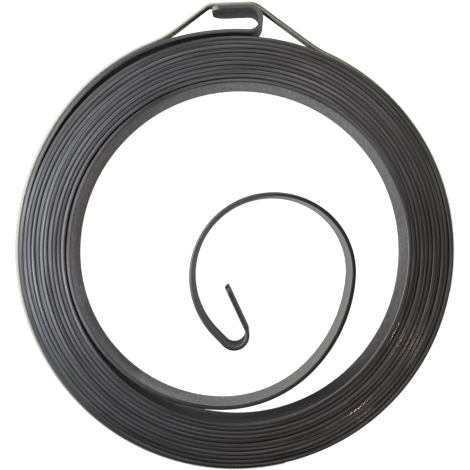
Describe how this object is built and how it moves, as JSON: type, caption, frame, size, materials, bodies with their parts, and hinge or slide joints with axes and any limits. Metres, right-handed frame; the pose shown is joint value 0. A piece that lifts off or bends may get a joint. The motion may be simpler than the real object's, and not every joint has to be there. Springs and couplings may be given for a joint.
{
  "type": "recoil starter spring",
  "caption": "Flat coiled steel strip with a hook at each end, held closed by an open wire ring; turns a pulled starter rope's pulley back.",
  "frame": {"origin": "on the coil's axis, in the plane that its lower strip edges rest on", "axes": "+Z along the coil's axis, away from the resting plane; +Y towards the outer hook; +X to the right in the picture"},
  "size_m": [0.0763, 0.0814, 0.01],
  "materials": {
    "spring_steel": "dark blue-grey hardened strip with lighter rounded edges, lightly oiled",
    "ring_wire": "bright drawn wire, smooth"
  },
  "bodies": {
    "root": {"spring_strip": "spring_steel", "retaining_ring": "ring_wire"}
  },
  "joints": []
}
